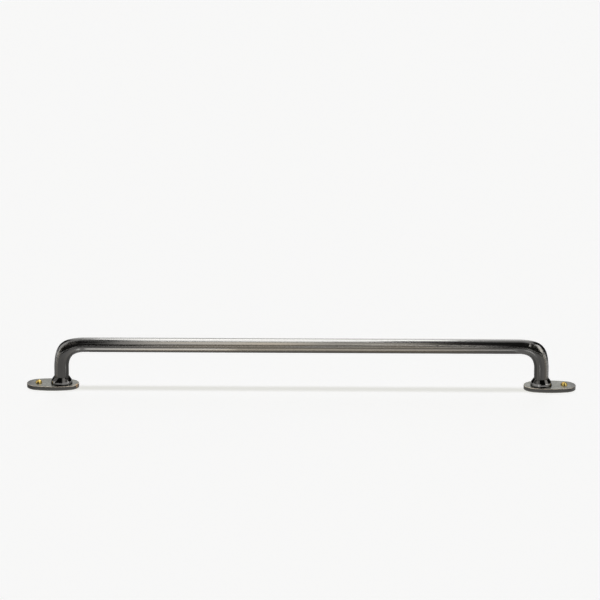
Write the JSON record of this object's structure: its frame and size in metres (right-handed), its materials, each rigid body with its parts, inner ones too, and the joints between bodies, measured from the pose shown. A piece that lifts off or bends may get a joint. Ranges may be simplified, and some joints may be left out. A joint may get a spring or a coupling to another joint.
{
  "type": "cabinet pull",
  "caption": "Long cabinet pull: a round bar bent down into legs that stand on oval foot plates with cone-shaped collars, fixed by round-head wood screws.",
  "frame": {"origin": "on the cabinet face that the foot plates lie against, half-way between the two screws", "axes": "+X along the bar to the right, +Z away from the cabinet face, +Y across the bar"},
  "size_m": [0.4776, 0.0254, 0.0598],
  "materials": {
    "blackened_rod": "brass rod blackened to a gunmetal tone, brushed lengthwise, satin",
    "blackened_plate": "brass plate blackened to a gunmetal tone, edges worn through to warm brass in places, satin",
    "black_collar": "turned brass, blackened, glossy",
    "bright_brass": "bright yellow brass, polished"
  },
  "bodies": {
    "root": {"handle_bar": "blackened_rod", "left_foot_plate": "blackened_plate", "right_foot_plate": "blackened_plate", "left_collar": "black_collar", "right_collar": "black_collar", "mounting_screws": "bright_brass"}
  },
  "joints": []
}
